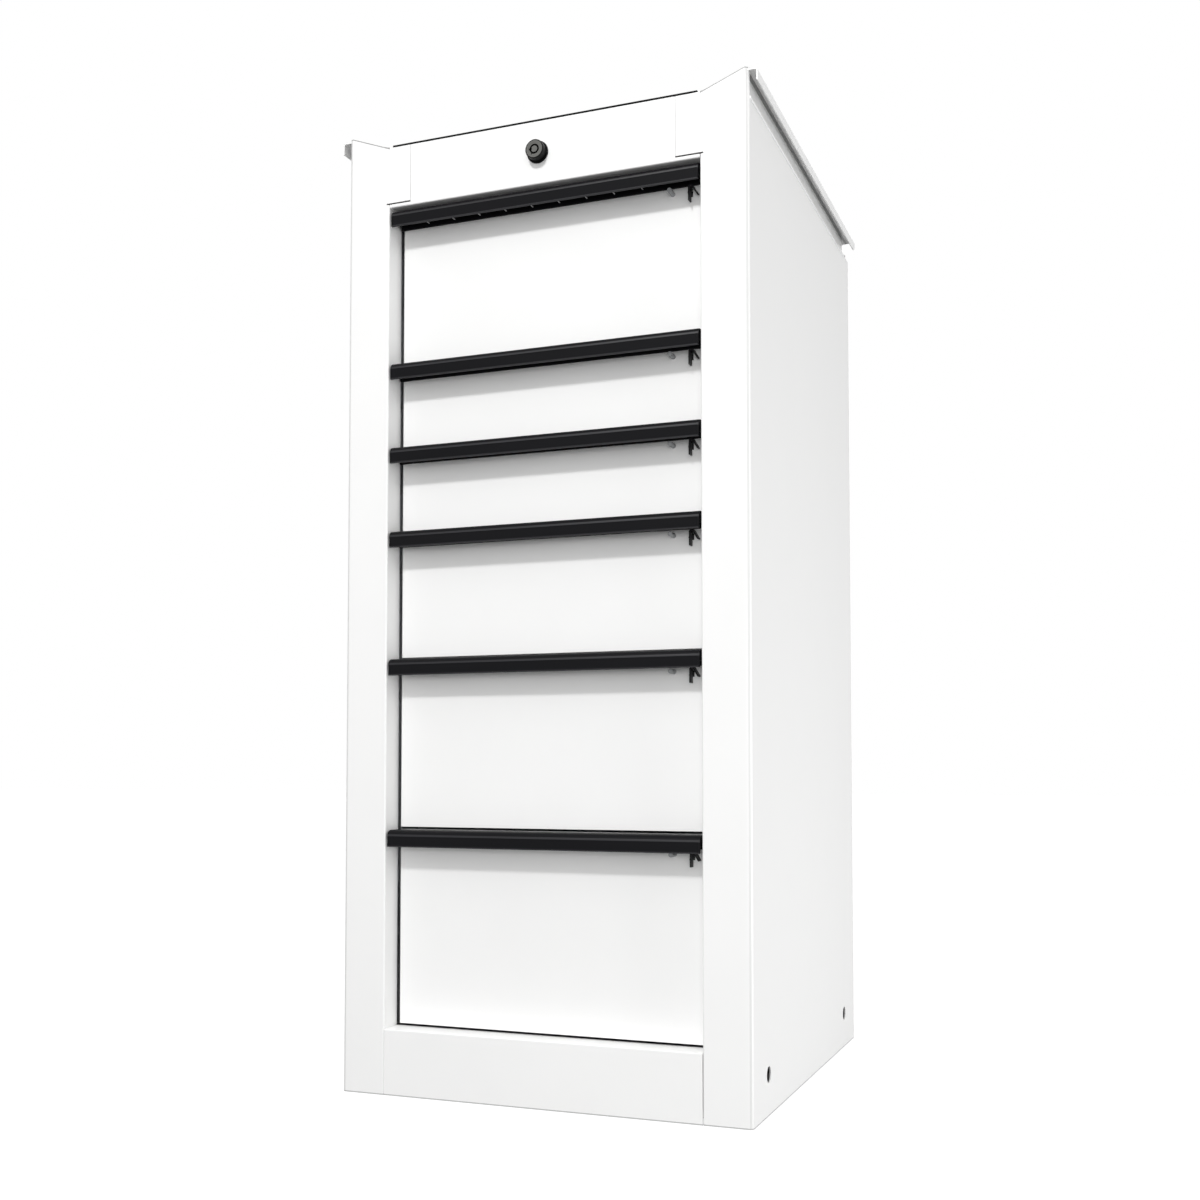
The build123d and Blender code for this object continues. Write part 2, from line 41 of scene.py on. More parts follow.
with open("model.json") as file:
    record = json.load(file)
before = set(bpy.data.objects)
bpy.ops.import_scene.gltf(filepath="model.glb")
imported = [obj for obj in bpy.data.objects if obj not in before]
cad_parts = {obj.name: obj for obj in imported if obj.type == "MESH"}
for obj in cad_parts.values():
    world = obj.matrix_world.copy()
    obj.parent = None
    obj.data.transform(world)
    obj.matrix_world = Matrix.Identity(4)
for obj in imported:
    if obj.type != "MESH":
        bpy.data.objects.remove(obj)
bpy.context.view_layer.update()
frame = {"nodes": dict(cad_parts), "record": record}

MM = 0.001
DRAWERS = range(1, 7)
# Two places closer than this are taken as one.
NEAR = 0.05 * MM

panel_low, panel_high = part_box("side_panel_right")
rail_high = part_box("top_rail_right")[1]

# How much of a face's normal lies along an axis that it faces, roughly or square on, and how much of an
# edge's direction lies along an axis that it follows.
FACING = 0.5
SQUARE_ON = 0.99
ALONG = 0.9

# The band of a pull's nose that gets a painted highlight: the least and the most that its faces look up.
NOSE_HIGHLIGHT_BAND = (-0.05, 0.34)
# How far a rib's lower edge looks down where it gets a painted highlight.
RIB_HIGHLIGHT_BAND = 0.3
# Share of a hem's width that is rounded.
HEM_ROUND = 0.9

# The spot welds: their pitch and radius, how far in from the cabinet's side their row is, and how deep
# behind the back panel's face they are drawn.
WELD_PITCH = 62.0 * MM
WELD_RADIUS = 3.4 * MM
WELD_INSET = 9.5 * MM
WELD_SKIN = 0.4 * MM
WELD_SHADE = 0.15

# Painted shade in the side rails' inner corner, under the rail's overhang: how far in from the cabinet's
# side it starts and ends, how far below the rail's top, and how far behind the cabinet's front it begins.
RAIL_SHADE_INSETS = (2.9 * MM, 0.8 * MM)
RAIL_SHADE_DROPS = (4.0 * MM, 1.0 * MM)
RAIL_SHADE_START = 6.0 * MM
RAIL_SHADE_STRENGTH = 0.6

# The raised corners: their inner edges, where their slope starts and ends, and their rise.
HEAD_HALF = 158.0 * MM
HEAD_SLOPE_START = 158.5 * MM
HEAD_SLOPE_END = 199.0 * MM
HEAD_RISE = 15.4 * MM

# Painted shade in thin lines where the edge of a sheet shows: on the raised corners, on the front corners
# of the sides, on the rails' lips, on the rear corners and along the floor.
HEAD_RIM_HEIGHT = 1.0 * MM
HEAD_RIM_DEPTH = 1.4 * MM
CORNER_RIM_INSETS = (3.0 * MM, 1.2 * MM)
CORNER_RIM_DEPTH = 3.2 * MM
CORNER_RIM_SHADE = 0.35
LIP_RIM_WIDTH = 1.0 * MM
LIP_RIM_HEIGHT = 1.4 * MM
REAR_RIM_WIDTH = 1.0 * MM
REAR_RIM_DEPTH = 2.5 * MM
REAR_RIM_SHADE = 0.7
FOOT_RIM_HEIGHT = 1.1 * MM
FOOT_RIM_SHADE = 0.8
RIM_SHADE = 0.6

# The catches: from their left end to the stud's axis, and the stud's radius.
STUD_INSET = 3.5 * MM
STUD_RADIUS = 2.3 * MM

# The lock: how deep and how wide the barrel's turned face is, and the waves of its rings in a metre.
LOCK_FACE_DEPTH = 0.7 * MM
LOCK_FACE_RADIUS = 8.0 * MM
LOCK_RINGS = 5200.0

# The plug's key groove, painted dark as shade: a ring, a notch at its left, and all that is sunk behind
# the plug's face.
GROOVE_DEPTH = 0.35 * MM
GROOVE_RING = (3.0 * MM, 4.75 * MM)
NOTCH_ACROSS = (-4.6 * MM, -2.3 * MM)
NOTCH_HALF = 0.9 * MM

# Each lamp's name, place and aim. Their powers and sizes are in StageSettings.
LAMPS = {
    "key": ("key_lamp", (0.0, -2.4, 2.46), (0.0, -0.2, 0.5)),
    "side": ("side_lamp", (1.9, -0.35, 0.1), (0.2, 0.0, 0.3)),
    "fill": ("low_fill", (0.75, -2.5, 0.4), (0.0, -0.2, 0.05)),
    "foot": ("foot_lamp", (0.95, -0.02, 0.08), (0.2, -0.02, 0.05)),
}

# The camera: its place, its tilt up from straight down and its turn to the left, both in degrees, and
# the shift that lowers the cabinet in the picture.
CAMERA_PLACE = (0.5202, -1.397, 0.3096)
CAMERA_TILT = 92.51
CAMERA_TURN = 21.22
CAMERA_SHIFT = 0.0889

# The floor: its width, the two greys of its clouds, and for the camera the grey that takes the shadow
# and the glow that whitens it.
FLOOR_WIDTH = 30
FLOOR_GREYS = (0.14, 0.16)
SHADOW_GREY = 0.25
FLOOR_GLOW = 0.83


class PullSizes(bpy.types.PropertyGroup):
    """Sizes of the drawer pulls"""

    wall: FloatProperty(
        name="Wall", description="Thickness of the moulding", default=2.2 * MM, unit="LENGTH"
    )
    flange_rise: FloatProperty(
        name="Flange rise",
        description="How much higher the rear flange ends than the front lip",
        default=2.8 * MM,
        unit="LENGTH",
    )
    nose_radius: FloatProperty(
        name="Nose radius",
        description="Round along the top front edge",
        default=6.0 * MM,
        unit="LENGTH",
    )
    back_radius: FloatProperty(
        name="Back radius",
        description="Round along the top rear edge",
        default=0.8 * MM,
        unit="LENGTH",
    )
    rim_round: FloatProperty(
        name="Rim round", description="Round along the lower rims", default=0.45 * MM, unit="LENGTH"
    )
    panel_border: FloatProperty(
        name="Panel border",
        description="Border left round the sunk front face",
        default=0.9 * MM,
        unit="LENGTH",
    )
    panel_depth: FloatProperty(
        name="Panel depth",
        description="How far the front face is sunk",
        default=0.3 * MM,
        unit="LENGTH",
    )
    rib_count: IntProperty(name="Ribs", description="Ribs inside the hollow", default=9)
    rib_pitch: FloatProperty(
        name="Rib pitch", description="Distance from rib to rib", default=27.7 * MM, unit="LENGTH"
    )
    rib_wall: FloatProperty(
        name="Rib wall", description="Thickness of a rib", default=1.2 * MM, unit="LENGTH"
    )
    rib_drop: FloatProperty(
        name="Rib drop",
        description="How far the ribs reach down from the top",
        default=10.2 * MM,
        unit="LENGTH",
    )
    end_wall: FloatProperty(
        name="End wall",
        description="Thickness of the wall at each end",
        default=2.0 * MM,
        unit="LENGTH",
    )


class TraySizes(bpy.types.PropertyGroup):
    """Sizes of the sheet steel drawer trays"""

    sheet: FloatProperty(
        name="Sheet", description="Thickness of the sheet", default=1.0 * MM, unit="LENGTH"
    )
    fold_radius: FloatProperty(
        name="Fold radius", description="Outer radius of the folds", default=2.0 * MM, unit="LENGTH"
    )
    rim_width: FloatProperty(
        name="Rim width", description="Width of the folded rim", default=4.0 * MM, unit="LENGTH"
    )
    rim_drop: FloatProperty(
        name="Rim drop",
        description="How far the rim is folded down inside",
        default=7.0 * MM,
        unit="LENGTH",
    )
    panel_border: FloatProperty(
        name="Panel border",
        description="Flat floor round each pressed panel",
        default=22.0 * MM,
        unit="LENGTH",
    )
    panel_slope: FloatProperty(
        name="Panel slope",
        description="Width of a pressed panel's sloped edge",
        default=3.0 * MM,
        unit="LENGTH",
    )
    panel_rise: FloatProperty(
        name="Panel rise",
        description="Height of the pressed panels",
        default=1.2 * MM,
        unit="LENGTH",
    )


class MatSizes(bpy.types.PropertyGroup):
    """Sizes of the ribbed top mat"""

    border: FloatProperty(
        name="Border", description="Plain border round the ribs", default=5.0 * MM, unit="LENGTH"
    )
    groove: FloatProperty(
        name="Groove", description="Depth between the ribs", default=1.2 * MM, unit="LENGTH"
    )
    rib_pitch: FloatProperty(
        name="Rib pitch", description="Distance from rib to rib", default=4.0 * MM, unit="LENGTH"
    )
    rib_width: FloatProperty(
        name="Rib width", description="Width of a rib", default=2.2 * MM, unit="LENGTH"
    )


class HemSizes(bpy.types.PropertyGroup):
    """Sizes of the hems along the side panels' upper edges"""

    height: FloatProperty(
        name="Height", description="Height of a hem", default=2.6 * MM, unit="LENGTH"
    )
    proud: FloatProperty(
        name="Proud",
        description="How far a hem stands out of the panel",
        default=0.8 * MM,
        unit="LENGTH",
    )
    top: FloatProperty(
        name="Top",
        description="Height of the hems' upper side above the floor",
        default=905.0 * MM,
        unit="LENGTH",
    )
    front_gap: FloatProperty(
        name="Front gap",
        description="Distance from the cabinet's front",
        default=4.0 * MM,
        unit="LENGTH",
    )
    rear_gap: FloatProperty(
        name="Rear gap",
        description="Distance from the cabinet's back",
        default=24.0 * MM,
        unit="LENGTH",
    )


class Colours(bpy.types.PropertyGroup):
    """Colours of the cabinet's finishes"""

    paint: FloatVectorProperty(
        name="Paint", description="Powder coat", default=(0.9, 0.9, 0.895), subtype="COLOR", size=3
    )
    plastic: FloatVectorProperty(
        name="Plastic",
        description="Pulls and catches",
        default=(0.006, 0.006, 0.007),
        subtype="COLOR",
        size=3,
    )
    # A painted highlight on the ribs' lower edges, paler than the plastic.
    rib_edge: FloatVectorProperty(
        name="Rib edge",
        description="Rubbed lower edges of the ribs",
        default=(0.5, 0.5, 0.5),
        subtype="COLOR",
        size=3,
    )
    rubber: FloatVectorProperty(
        name="Rubber", description="Top mat", default=(0.007, 0.007, 0.007), subtype="COLOR", size=3
    )
    # The hems' colour is a painted highlight: brighter than the paint, so the rolled edge shows as a
    # light line.
    hem: FloatVectorProperty(
        name="Hem",
        description="Thick coat on the side hems",
        default=(1.0, 1.0, 1.0),
        subtype="COLOR",
        size=3,
    )
    zinc: FloatVectorProperty(
        name="Zinc",
        description="Plated steel",
        default=(0.62, 0.635, 0.65),
        subtype="COLOR",
        size=3,
    )
    barrel: FloatVectorProperty(
        name="Barrel",
        description="Side of the lock's barrel",
        default=(0.004, 0.004, 0.004),
        subtype="COLOR",
        size=3,
    )
    lock_face: FloatVectorProperty(
        name="Lock face",
        description="Front of the lock",
        default=(0.125, 0.125, 0.118),
        subtype="COLOR",
        size=3,
    )


class StageSettings(bpy.types.PropertyGroup):
    """Lamps, sky and camera"""

    key_power: FloatProperty(
        name="Key power", description="Power of the main lamp", default=40.0, subtype="POWER"
    )
    key_size: FloatProperty(
        name="Key size", description="Side of the main lamp", default=0.25, unit="LENGTH"
    )
    side_power: FloatProperty(
        name="Side power",
        description="Power of the lamp beside the cabinet",
        default=15.4,
        subtype="POWER",
    )
    side_size: FloatProperty(
        name="Side size",
        description="Side of the lamp beside the cabinet",
        default=0.9,
        unit="LENGTH",
    )
    fill_power: FloatProperty(
        name="Fill power",
        description="Power of the low lamp in front",
        default=15.6,
        subtype="POWER",
    )
    fill_size: FloatProperty(
        name="Fill size", description="Side of the low lamp in front", default=1.0, unit="LENGTH"
    )
    foot_power: FloatProperty(
        name="Foot power",
        description="Power of the lamp at the foot of the right side",
        default=1.15,
        subtype="POWER",
    )
    foot_size: FloatProperty(
        name="Foot size",
        description="Side of the lamp at the foot of the right side",
        default=0.5,
        unit="LENGTH",
    )
    sky: FloatProperty(
        name="Sky", description="Strength of the even light from all round", default=0.76
    )
    lens: FloatProperty(
        name="Lens", description="Focal length of the camera", default=42.08, unit="CAMERA"
    )


def rest():
    """Leaves edit mode and drops every selection."""
    if bpy.context.object and bpy.context.object.mode != "OBJECT":
        bpy.ops.object.mode_set(mode="OBJECT")
    bpy.ops.object.select_all(action="DESELECT")


def only(piece):
    """Makes one piece the selected and active one."""
    rest()
    piece.select_set(True)
    bpy.context.view_layer.objects.active = piece


def block(name, low, high):
    """A new box between two corners, with its place in its mesh."""
    rest()
    middle = [(a + b) / 2 for a, b in zip(low, high)]
    spans = [b - a for a, b in zip(low, high)]
    bpy.ops.mesh.primitive_cube_add(size=1, location=middle, scale=spans)
    piece = bpy.context.object
    piece.name = name
    piece.data.name = name
    bpy.ops.object.transform_apply(location=True, rotation=True, scale=True)
    return piece


def pick(piece, kind, test):
    """Edit mode with the vertices, edges or faces selected that pass a test.

    The test gets the middle of each one, and its normal or, for an edge, its direction.
    """
    only(piece)
    bpy.ops.object.mode_set(mode="EDIT")
    bpy.ops.mesh.select_mode(type=kind)
    bpy.ops.mesh.select_all(action="DESELECT")
    bpy.ops.object.mode_set(mode="OBJECT")
    mesh = piece.data
    if kind == "VERT":
        for vertex in mesh.vertices:
            vertex.select = test(vertex.co, vertex.normal)
    elif kind == "FACE":
        for face in mesh.polygons:
            face.select = test(face.center, face.normal)
    else:
        for edge in mesh.edges:
            start, end = (mesh.vertices[index].co for index in edge.vertices)
            edge.select = test((start + end) / 2, (end - start).normalized())
    bpy.ops.object.mode_set(mode="EDIT")


def modify(piece, kind, **settings):
    """Adds a modifier to a piece and applies it."""
    only(piece)
    bpy.ops.object.modifier_add(type=kind)
    modifier = piece.modifiers[-1]
    for name, value in settings.items():
        setattr(modifier, name, value)
    bpy.ops.object.modifier_apply(modifier=modifier.name)


def round_edges(piece, test, radius, segments):
    """Rounds the edges that pass a test."""
    pick(piece, "EDGE", test)
    bpy.ops.mesh.bevel(offset=radius, segments=segments, affect="EDGES")


def round_folds(piece, radius, segments, degrees):
    """Rounds the edges that are sharper than an angle."""
    limit = math.radians(degrees)
    modify(piece, "BEVEL", width=radius, segments=segments, limit_method="ANGLE", angle_limit=limit)


def give_wall(piece, thickness):
    """Gives a surface a thickness, inwards."""
    modify(piece, "SOLIDIFY", thickness=thickness, offset=-1.0, use_even_offset=True)


def copy_of(piece, name, offset):
    """A copy of a piece with its own mesh, moved by an offset."""
    only(piece)
    bpy.ops.object.duplicate(linked=False)
    twin = bpy.context.object
    twin.name = name
    twin.data.name = name
    bpy.ops.transform.translate(value=offset)
    bpy.ops.object.transform_apply(location=True, rotation=False, scale=False)
    return twin


def joined(pieces, name):
    """Several pieces made one."""
    only(pieces[0])
    for piece in pieces[1:]:
        piece.select_set(True)
    bpy.ops.object.join()
    whole = bpy.context.object
    whole.name = name
    whole.data.name = name
    return whole


def smooth(piece, degrees=32):
    """Smooth shading across all but the sharp edges."""
    only(piece)
    bpy.ops.object.shade_smooth_by_angle(angle=math.radians(degrees))


def finish_piece(piece, body, slot, material_name=None):
    """Gives a piece the material made for a record slot, or a named material, and the body that it rides
    on.
    """
    piece.data.materials.clear()
    piece.data.materials.append(bpy.data.materials[material_name or MATERIAL_NAMES[slot]])
    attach(piece, body)
    rest()


class Wire:
    """A socket of a material. Arithmetic on it and comparisons with it add the Math nodes."""

    def __init__(self, finish, socket):
        self.finish = finish
        self.socket = socket

    def math(self, operation, *others):
        return self.finish.add(
            "ShaderNodeMath", {"operation": operation}, dict(enumerate((self, *others)))
        )

    def __add__(self, other):
        return self.math("ADD", other)

    __radd__ = __add__

    def __mul__(self, other):
        return self.math("MULTIPLY", other)

    __rmul__ = __mul__

    def __sub__(self, other):
        return self.math("SUBTRACT", other)

    def __rsub__(self, other):
        return (self * -1.0) + other

    def __pow__(self, other):
        return self.math("POWER", other)

    def __abs__(self):
        return self.math("ABSOLUTE")

    def __gt__(self, other):
        return self.math("GREATER_THAN", other)

    def __lt__(self, other):
        return self.math("LESS_THAN", other)

    def __mod__(self, other):
        return self.math("FLOORED_MODULO", other)

    def within(self, low, high):
        """1 between two values, otherwise 0."""
        return (self > low) * (self < high)


class Finish:
    """One material, or the world round the object, and the nodes that make it."""

    def __init__(self, owner):
        self.owner = owner
        owner.use_nodes = True
        self.tree = owner.node_tree
        self.tree.nodes.clear()

    def add(self, kind, settings=None, sockets=None, output=0):
        """Adds a node: its settings come first, then the values or links of its sockets."""
        node = self.tree.nodes.new(kind)
        for name, value in (settings or {}).items():
            setattr(node, name, value)
        for name, value in (sockets or {}).items():
            if isinstance(value, Wire):
                self.tree.links.new(value.socket, node.inputs[name])
            else:
                node.inputs[name].default_value = value
        return Wire(self, node.outputs[output]) if node.outputs else None

    def place(self, stretch=(1, 1, 1)):
        """Place on the piece in metres, stretched along each axis."""
        point = self.add("ShaderNodeTexCoord", output="Object")
        return self.add("ShaderNodeMapping", {}, {"Vector": point, "Scale": stretch})

    def axes(self):
        """The three coordinates of the place on the piece."""
        point = self.add("ShaderNodeTexCoord", output="Object")
        return [self.add("ShaderNodeSeparateXYZ", {}, {"Vector": point}, axis) for axis in "XYZ"]

    def noise(self, scale, detail=2.0, stretch=(1, 1, 1)):
        """Noise from 0 to 1 with that many features to a metre."""
        sockets = {"Vector": self.place(stretch), "Scale": scale, "Detail": detail}
        return self.add("ShaderNodeTexNoise", {}, sockets)

    def between(self, amount, first, second):
        """A colour between two, each a colour or a wire."""
        # Inputs 6 and 7 and output 2 are the ones that a Mix node has for colours.
        sockets = {"Factor": amount, 6: first, 7: second}
        return self.add("ShaderNodeMix", {"data_type": "RGBA"}, sockets, output=2)

    def raised(self, height, distance, strength=1.0, under=None):
        """A normal bumped by a height from 0 to 1."""
        sockets = {"Height": height, "Distance": distance, "Strength": strength}
        if under:
            sockets["Normal"] = under
        return self.add("ShaderNodeBump", {}, sockets)

    def close(self, **sockets):
        """Adds the surface shader and the output."""
        named = {name.replace("_", " "): value for name, value in sockets.items()}
        surface = self.add("ShaderNodeBsdfPrincipled", {}, named)
        self.add("ShaderNodeOutputMaterial", {}, {"Surface": surface})
        return self.owner

    def seen(self):
        """1 for what the camera sees straight, in a gloss or through glass, otherwise 0."""
        rays = ("Is Camera Ray", "Is Glossy Ray", "Is Transmission Ray")
        return strongest(*(self.add("ShaderNodeLightPath", output=ray) for ray in rays))


def strongest(first, *others):
    """The highest of several masks."""
    for other in others:
        first = first.math("MAXIMUM", other)
    return first


def new_finish(name):
    """The start of a new material."""
    return Finish(bpy.data.materials.new(name))


def grey(shade):
    """A grey with its alpha."""
    return (shade, shade, shade, 1)


def opaque(colour, shade=1.0):
    """A colour with its alpha, darkened or brightened by a share."""
    return (*(channel * shade for channel in colour), 1)


def weld_spots(x, y, z):
    """1 on the spot welds of the rear flanges."""
    across = abs(x) - (panel_high.x - WELD_INSET)
    along = (z % WELD_PITCH) - WELD_PITCH / 2
    distance = (across * across + along * along) ** 0.5
    return (distance < WELD_RADIUS) * (y > panel_high.y - WELD_SKIN)


def painted_rail_corner_shade(x, y, z):
    """1 in the inner corner of the side rails, where shade is painted."""
    beside_web = abs(x).within(*(panel_high.x - inset for inset in RAIL_SHADE_INSETS))
    under_top = z.within(*(rail_high.z - drop for drop in RAIL_SHADE_DROPS))
    return beside_web * under_top * (y > panel_low.y + RAIL_SHADE_START)


def painted_edge_shade(x, y, z):
    """Painted shade along the sheets' edges, from 0 to 1 by how dark it is."""
    out = abs(x)
    climb = (out - HEAD_SLOPE_START) * (HEAD_RISE / (HEAD_SLOPE_END - HEAD_SLOPE_START))
    rise = climb.math("MAXIMUM", 0.0).math("MINIMUM", HEAD_RISE)
    head_edge = rise + (panel_high.z - HEAD_RISE)
    head = (z > head_edge - HEAD_RIM_HEIGHT) * (y < panel_low.y + HEAD_RIM_DEPTH) * (out > HEAD_HALF)
    corner = out.within(*(panel_high.x - inset for inset in CORNER_RIM_INSETS))
    corner = corner * (y < panel_low.y + CORNER_RIM_DEPTH)
    lip = (out > rail_high.x - LIP_RIM_WIDTH) * (z > rail_high.z - LIP_RIM_HEIGHT)
    rear = (out > panel_high.x - REAR_RIM_WIDTH) * (y > panel_high.y - REAR_RIM_DEPTH)
    foot = z < FOOT_RIM_HEIGHT
    return strongest(
        head, corner * CORNER_RIM_SHADE, lip, rear * REAR_RIM_SHADE, foot * FOOT_RIM_SHADE
    )


def powder_coat(colours):
    """White powder coat: orange peel, mottling and spot welds, with painted shade in the rails' inner
    corners and along the sheets' edges.
    """
    finish = new_finish("white_powder_coat")
    mottle = finish.noise(14.0, detail=3.0)
    peel = finish.noise(620.0)
    wave = finish.noise(85.0, detail=1.0)
    axes = finish.axes()
    welds = weld_spots(*axes)
    grain = finish.raised(peel, 0.05 * MM, strength=0.5)
    swell = finish.raised(wave, 0.12 * MM, strength=0.35, under=grain)
    tone = finish.between(mottle, opaque(colours.paint, 0.985), opaque(colours.paint, 1.015))
    # Painted shade in the rails' inner corners and along the sheets' edges, and the spot welds' own
    # darker marks.
    dark = painted_rail_corner_shade(*axes) * RAIL_SHADE_STRENGTH + welds * WELD_SHADE + painted_edge_shade(*axes) * RIM_SHADE
    return finish.close(
        Base_Color=finish.between(dark, tone, grey(0.0)),
        Roughness=0.3 + 0.12 * mottle,
        Normal=finish.raised(welds * -1.0, 0.3 * MM, strength=0.8, under=swell),
        IOR=1.5,
    )


def hem_painted_highlight(colours):
    """The same white coat, painted brighter as a highlight along the rolled hem, with a faint random
    tone.
    """
    finish = new_finish("hem_powder_coat")
    blotch = finish.noise(60.0, stretch=(1, 0.2, 1))
    peel = finish.noise(620.0)
    return finish.close(
        Base_Color=finish.between(blotch, opaque(colours.hem, 0.985), opaque(colours.hem)),
        Roughness=0.2 + 0.1 * blotch,
        Normal=finish.raised(peel, 0.03 * MM, strength=0.4),
        IOR=1.5,
    )


def moulded_plastic(colours):
    """Dark moulded plastic with a fine spark-eroded grain."""
    finish = new_finish("dark_moulded_plastic")
    grain = finish.noise(2400.0)
    flow = finish.noise(22.0, stretch=(0.25, 1, 1))
    return finish.close(
        Base_Color=finish.between(flow, opaque(colours.plastic, 0.85), opaque(colours.plastic, 1.35)),
        Roughness=0.4 + 0.14 * flow,
        Normal=finish.raised(grain, 0.03 * MM, strength=0.5),
        Specular_IOR_Level=0.06,
    )


def catch_finish(colours):
    """The thumb catches: dark plastic on a zinc plated stud that stands out of the front."""
    finish = new_finish("catch_plastic_and_stud")
    x, y, _ = finish.axes()
    stud_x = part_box("drawer_1_catch")[0].x + STUD_INSET
    stud = (abs(x - stud_x) < STUD_RADIUS) * (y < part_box("drawer_1_front")[0].y)
    grain = finish.noise(1800.0)
    dark = finish.between(grain, opaque(colours.plastic), opaque(colours.plastic, 1.8))
    bright = finish.between(grain, opaque(colours.zinc, 0.48), opaque(colours.zinc, 0.6))
    return finish.close(
        Base_Color=finish.between(stud, dark, bright),
        Roughness=0.42 + 0.1 * grain,
        Normal=finish.raised(grain, 0.02 * MM, strength=0.4),
        Metallic=stud * 0.2,
        Specular_IOR_Level=0.15,
    )


def satin_plastic(colours):
    """The same plastic, glossier and painted paler as a highlight on the nose and the rims."""
    finish = new_finish("satin_plastic")
    flow = finish.noise(40.0, stretch=(0.2, 1, 1))
    return finish.close(
        Base_Color=finish.between(flow, opaque(colours.plastic, 1.8), opaque(colours.plastic, 3.2)),
        Roughness=0.42 + 0.12 * flow,
        Normal=finish.raised(flow, 0.05 * MM, strength=0.3),
        Specular_IOR_Level=0.26,
    )


def rubbed_plastic(colours):
    """The same plastic, painted paler as a highlight on the ribs' lower edges."""
    finish = new_finish("rubbed_plastic")
    rib_streak = finish.noise(90.0, detail=3.0)
    return finish.close(
        Base_Color=finish.between(rib_streak, opaque(colours.rib_edge, 0.75), opaque(colours.rib_edge, 1.25)),
        Roughness=0.35 + 0.2 * rib_streak,
        Normal=finish.raised(rib_streak, 0.03 * MM, strength=0.4),
        Specular_IOR_Level=0.3,
    )


def mat_rubber(colours):
    """Black rubber with a dull bloom."""
    finish = new_finish("black_mat_rubber")
    bloom = finish.noise(30.0, detail=4.0)
    grain = finish.noise(1500.0)
    return finish.close(
        Base_Color=finish.between(bloom, opaque(colours.rubber), opaque(colours.rubber, 1.9)),
        Roughness=0.72 + 0.16 * bloom,
        Normal=finish.raised(grain, 0.05 * MM, strength=0.7),
        Specular_IOR_Level=0.12,
    )


def zinc_plate(colours):
    """Bright zinc plate with rolling marks along its length and a faint cloudiness."""
    finish = new_finish("zinc_plated_steel")
    cloud = finish.noise(45.0, detail=3.0)
    rolled = finish.noise(900.0, stretch=(1, 0.02, 1))
    return finish.close(
        Base_Color=finish.between(cloud, opaque(colours.zinc, 0.88), opaque(colours.zinc, 1.08)),
        Roughness=0.26 + 0.16 * cloud + 0.06 * rolled,
        Normal=finish.raised(rolled, 0.02 * MM, strength=0.35),
        Metallic=1.0,
    )


def about_lock(finish, node):
    """Across, behind the front of and above a part of the lock, and the distance from its axis."""
    x, y, z = finish.axes()
    low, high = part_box(node)
    up = z - (low.z + high.z) / 2
    return x, y - low.y, up, (x * x + up * up) ** 0.5


def lock_metal(colours):
    """The lock: a black barrel with a grey, turned front face."""
    finish = new_finish("lock_barrel_metal")
    _, depth, _, radius = about_lock(finish, "lock_housing")
    face = (depth < LOCK_FACE_DEPTH) * (radius < LOCK_FACE_RADIUS)
    turned = finish.noise(60.0)
    rings = (radius * LOCK_RINGS).math("SINE") * 0.5 + 0.5
    return finish.close(
        Base_Color=finish.between(face, opaque(colours.barrel), opaque(colours.lock_face)),
        Roughness=0.34 + 0.1 * turned,
        Metallic=face * 0.35,
        Normal=finish.raised(rings * face, 0.01 * MM, strength=0.4),
        Specular_IOR_Level=0.1,
    )


def plug_metal(colours):
    """The lock's plug: grey, with painted shade in its key groove."""
    finish = new_finish("lock_plug_metal")
    across, depth, up, radius = about_lock(finish, "lock_plug")
    notch = across.within(*NOTCH_ACROSS) * (abs(up) < NOTCH_HALF)
    # Painted shade: the key groove and all that is sunk behind the face take the barrel's black.
    groove = strongest(depth > GROOVE_DEPTH, radius.within(*GROOVE_RING), notch)
    worn = finish.noise(700.0, detail=3.0)
    grey = finish.between(worn, opaque(colours.lock_face, 0.9), opaque(colours.lock_face, 1.12))
    return finish.close(
        Base_Color=finish.between(groove, grey, opaque(colours.barrel)),
        Roughness=0.36 + 0.12 * worn,
        Metallic=0.35 - groove * 0.35,
        Normal=finish.raised(worn, 0.01 * MM, strength=0.4),
        Specular_IOR_Level=0.1,
    )


FINISHES = {
    "white_paint": powder_coat,
    "dark_plastic": moulded_plastic,
    "black_rubber": mat_rubber,
    "zinc_steel": zinc_plate,
    "black_lock_metal": lock_metal,
    "lock_face_metal": plug_metal,
}
# The material made for each of the record's slots, once the finishes are made.
MATERIAL_NAMES = {}


class CABINET_OT_finishes(bpy.types.Operator):
    """Make the finishes and put them on every part of the frame"""

    bl_idname = "side_cabinet.finishes"
    bl_label = "Finishes"

    def execute(self, context):
        colours = context.scene.cabinet_colours
        for slot, make in FINISHES.items():
            MATERIAL_NAMES[slot] = make(colours).name
        satin_plastic(colours)
        rubbed_plastic(colours)
        hem_painted_highlight(colours)
        catch = catch_finish(colours)
        for row in frame["record"]["subparts"]:
            node = frame["nodes"][row["node"]]
            node.data.materials.clear()
            plain = bpy.data.materials[MATERIAL_NAMES[row["material_slot"]]]
            node.data.materials.append(catch if row["node"].endswith("_catch") else plain)
        return {"FINISHED"}


def pull_web(name, sizes, low, high, left, wall):
    """A rib or an end wall: a thin plate in the upper part of the pull's hollow."""
    half_wall = sizes.wall / 2
    start = (left, low.y + half_wall, high.z - sizes.rib_drop)
    end = (left + wall, high.y - half_wall, high.z - half_wall)
    web = block(name, start, end)

    def top_front(at, way):
        return abs(way.x) > ALONG and at.y < start[1] + NEAR and at.z > end[2] - NEAR

    def lower(at, way):
        return abs(way.y) > ALONG and at.z < start[2] + NEAR

    round_edges(web, top_front, radius=sizes.nose_radius - half_wall, segments=6)
    round_edges(web, lower, radius=wall / 4, segments=2)
    return web


